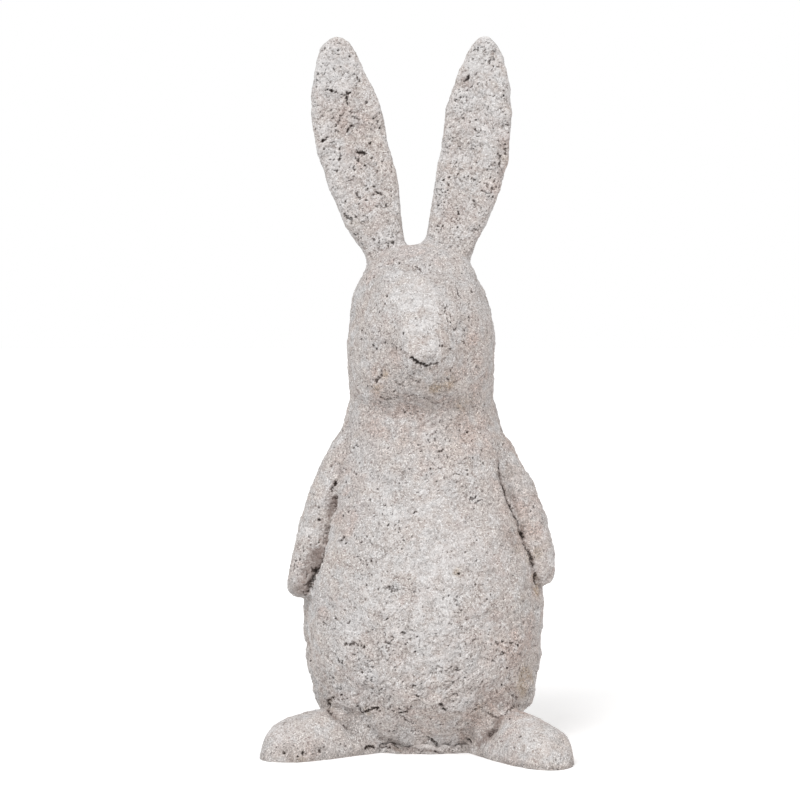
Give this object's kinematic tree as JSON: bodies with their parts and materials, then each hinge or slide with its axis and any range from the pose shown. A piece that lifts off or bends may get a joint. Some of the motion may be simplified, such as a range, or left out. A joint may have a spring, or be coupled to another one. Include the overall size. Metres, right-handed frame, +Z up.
{
  "type": "rabbit garden figurine",
  "caption": "Standing rabbit garden figurine cast in rough sandy cement, with upright ears, arms at its sides and splayed feet, built from dowelled castings.",
  "frame": {"origin": "middle of the figure's outline at ground level", "axes": "+Z up along the figure's height; the rabbit faces -Y, and +X is its own left side"},
  "size_m": [0.2042, 0.185, 0.4766],
  "materials": {
    "cement": "matte",
    "steel": "matte"
  },
  "bodies": {
    "root": {"torso_shell": "cement", "head": "cement", "left_ear": "cement", "right_ear": "cement", "left_arm": "cement", "right_arm": "cement", "base_slab": "cement", "left_foot": "cement", "right_foot": "cement", "tail": "cement", "left_neck_dowel": "steel", "right_neck_dowel": "steel", "left_ear_rod": "steel", "right_ear_rod": "steel", "left_upper_arm_dowel": "steel", "left_lower_arm_dowel": "steel", "right_upper_arm_dowel": "steel", "right_lower_arm_dowel": "steel", "front_base_pin": "steel", "rear_base_pin": "steel", "left_inner_foot_dowel": "steel", "left_outer_foot_dowel": "steel", "right_inner_foot_dowel": "steel", "right_outer_foot_dowel": "steel", "tail_dowel": "steel"}
  },
  "joints": []
}
